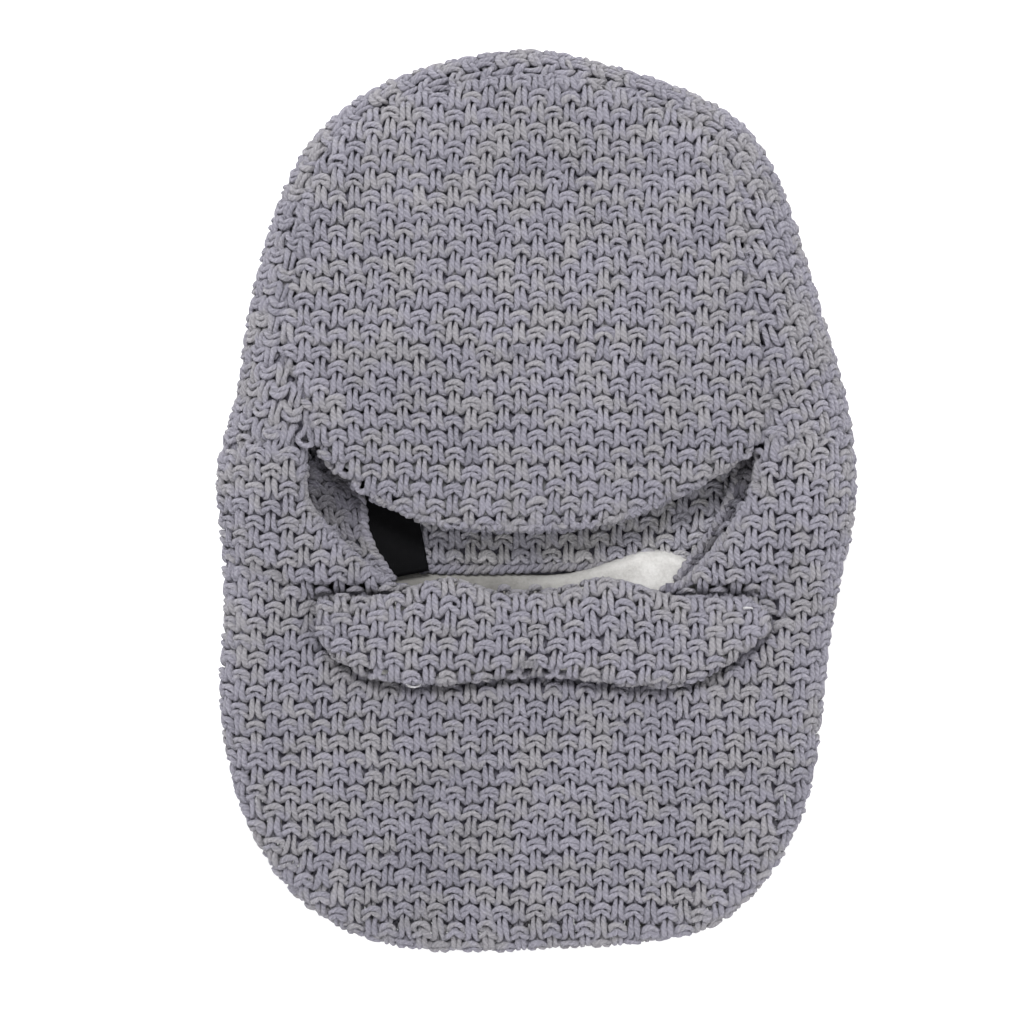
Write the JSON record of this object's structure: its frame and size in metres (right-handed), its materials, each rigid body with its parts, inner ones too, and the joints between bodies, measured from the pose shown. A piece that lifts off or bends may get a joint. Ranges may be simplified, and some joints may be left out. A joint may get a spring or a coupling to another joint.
{
  "type": "balaclava",
  "caption": "Chunky knitted ski balaclava with a stiffened peak, fold-down mouth flap and plush-lined neck bib, laid flat on its back.",
  "frame": {"origin": "on the table under the middle of the hood as it lies flat on its back", "axes": "+Y from the neck hem towards the crown, +Z out of the face, +X to the right as one looks at the face"},
  "size_m": [0.256, 0.362, 0.0378],
  "materials": {
    "grey_knit": "chunky two-ply wool-blend knit, moss stitch",
    "white_fleece": "short plush pile",
    "seam_yarn": "plied yarn",
    "black_label": "woven satin",
    "peak_board": "moulded sheet"
  },
  "bodies": {
    "hood": {"crown_front_panel": "grey_knit", "left_side_panel": "grey_knit", "right_side_panel": "grey_knit", "back_panel": "grey_knit", "front_bib": "grey_knit", "head_lining": "grey_knit", "neck_lining_back": "white_fleece", "neck_lining_front": "white_fleece", "left_cheek_facing": "grey_knit", "right_cheek_facing": "grey_knit", "label": "black_label", "crown_tack_stitch": "seam_yarn", "left_seam_thread": "seam_yarn", "top_seam_thread": "seam_yarn", "right_seam_thread": "seam_yarn"},
    "peak": {"peak_top_cover": "grey_knit", "peak_stiffener": "peak_board", "peak_under_cover": "grey_knit"},
    "mouth_flap": {"mouth_flap_knit": "grey_knit", "mouth_flap_backing": "white_fleece", "mouth_flap_bar_tack": "seam_yarn"}
  },
  "joints": [
    {"name": "peak_fold", "type": "hinge", "parent": "hood", "child": "peak", "pos_m": [-0.00017, 0.03626, 0.036], "axis": [-1, 0, 0], "range_deg": [0, 75]},
    {"name": "mouth_flap_fold", "type": "hinge", "parent": "hood", "child": "mouth_flap", "pos_m": [-0.00017, -0.03674, 0.034], "axis": [-1, 0, 0], "range_deg": [0, 140]}
  ]
}
